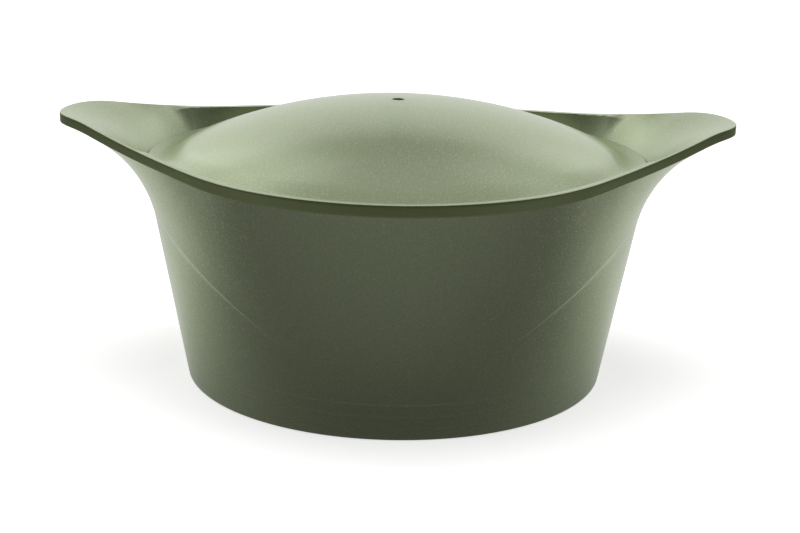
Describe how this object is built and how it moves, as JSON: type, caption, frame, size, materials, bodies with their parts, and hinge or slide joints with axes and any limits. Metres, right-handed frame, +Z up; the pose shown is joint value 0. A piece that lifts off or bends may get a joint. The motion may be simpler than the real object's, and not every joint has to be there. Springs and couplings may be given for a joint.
{
  "type": "casserole pot",
  "caption": "Round cast pot whose rim sweeps out and up into broad wing handles, with a loose low-domed lid that has a steam vent.",
  "frame": {"origin": "middle of the base, on the surface that the pot stands on", "axes": "+Z up through the middle of the lid, +X along the line of the two wing handles"},
  "size_m": [0.3213, 0.2489, 0.1332],
  "materials": {
    "green_lacquer": "glossy green lacquer with a fine metallic fleck on cast aluminium",
    "disc_steel": "turned, satin"
  },
  "bodies": {
    "pot": {"pot_body": "green_lacquer", "base_disc": "disc_steel"},
    "lid": {"lid": "green_lacquer"}
  },
  "joints": [
    {"name": "lid_lift", "type": "slide", "parent": "pot", "child": "lid", "axis": [0, 0, 1], "range_m": [0, 0.06]}
  ]
}
